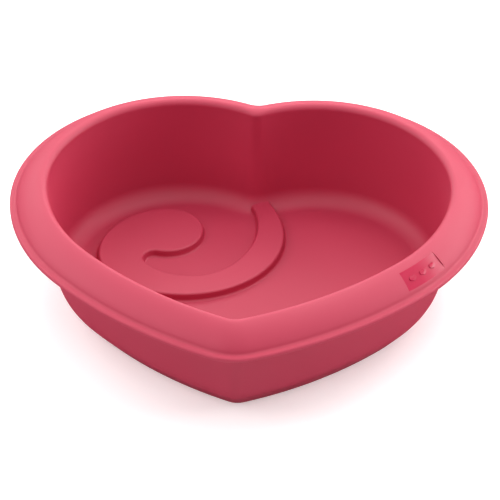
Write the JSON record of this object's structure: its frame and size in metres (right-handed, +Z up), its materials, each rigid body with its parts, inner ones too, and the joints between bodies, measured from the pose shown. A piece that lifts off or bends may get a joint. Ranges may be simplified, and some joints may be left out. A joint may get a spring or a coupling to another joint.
{
  "type": "heart-shaped silicone baking mould",
  "caption": "Heart-shaped moulded silicone cake mould with a rolled rim, a flat flange, drafted walls and a raised spiral on its floor.",
  "frame": {"origin": "centre of the bounding box's bottom face, on the surface the mould stands on", "axes": "+Z up, out of the cavity; +Y towards the heart's cleft and -Y towards its tip; +X to the right, across the heart's width"},
  "size_m": [0.2602, 0.2306, 0.0685],
  "materials": {
    "silicone": "satin matt moulded silicone, raspberry red",
    "polished_silicone": "polished moulded silicone, raspberry red"
  },
  "bodies": {
    "root": {"floor_panel": "silicone", "swirl_relief": "silicone", "base_bend": "silicone", "foot_ring": "silicone", "side_wall": "silicone", "rim_crest": "silicone", "rim_shoulder": "silicone", "rim_ledge": "silicone", "name_plate": "polished_silicone", "plate_emblem": "polished_silicone"}
  },
  "joints": []
}
